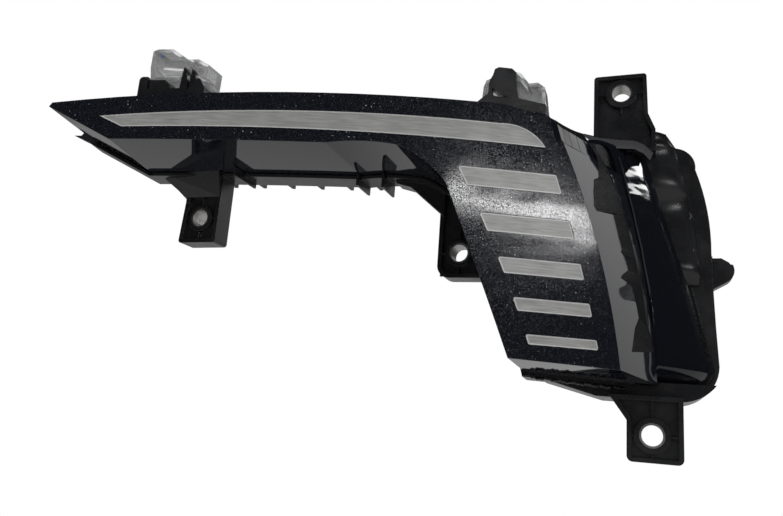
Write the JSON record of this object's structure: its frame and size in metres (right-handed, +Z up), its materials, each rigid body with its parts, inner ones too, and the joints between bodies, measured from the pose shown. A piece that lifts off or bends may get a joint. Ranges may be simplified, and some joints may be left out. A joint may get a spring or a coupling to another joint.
{
  "type": "daytime running light",
  "caption": "Corner daytime running light with a slim arm and a stepped column of light windows in a glossy swept mask, a black housing with fixing tabs and a rear connector.",
  "frame": {"origin": "centre of the front end of the lower fixing's hole", "axes": "+X outboard, along the plane of the fixings, +Y rearwards into the vehicle and along the fixing holes, +Z up"},
  "size_m": [0.3556, 0.22, 0.2236],
  "materials": {
    "gloss_black": "gloss",
    "satin_black": "satin",
    "connector_black": "satin",
    "diffuser_grey": "satin",
    "sealant": "gloss",
    "gasket": "matte",
    "guide_clear": "clear",
    "reflector_white": "satin",
    "board_green": "satin",
    "emitter": "gloss",
    "cast_alloy": "rough",
    "screw_steel": "satin",
    "flex_film": "satin",
    "contact_tin": "satin",
    "vent_grey": "matte",
    "driver_parts": "satin",
    "clear_plastic": "clear",
    "sleeve_steel": "satin"
  },
  "bodies": {
    "root": {"lens_mask": "gloss_black", "side_cover": "gloss_black", "window_lens": "diffuser_grey", "housing": "satin_black", "rear_lid": "satin_black", "left_bracket": "satin_black", "right_bracket": "satin_black", "connector_socket": "connector_black", "seal_bead": "sealant", "foot_bead": "sealant", "side_bead": "sealant", "lid_seal": "gasket", "arm_light_guide": "guide_clear", "column_light_guide": "guide_clear", "arm_reflector": "reflector_white", "column_reflector": "reflector_white", "arm_light_board": "board_green", "column_light_board": "board_green", "driver_board": "board_green", "arm_leds": "emitter", "column_leds": "emitter", "heat_sink": "cast_alloy", "board_screws": "screw_steel", "lid_screws": "screw_steel", "board_jumper": "flex_film", "connector_pins": "contact_tin", "breather_vent": "vent_grey", "driver_parts": "driver_parts", "left_clear_block": "clear_plastic", "right_clear_block": "clear_plastic", "upper_sleeve": "sleeve_steel", "arm_sleeve": "sleeve_steel", "middle_sleeve": "sleeve_steel", "lower_sleeve": "sleeve_steel"}
  },
  "joints": []
}
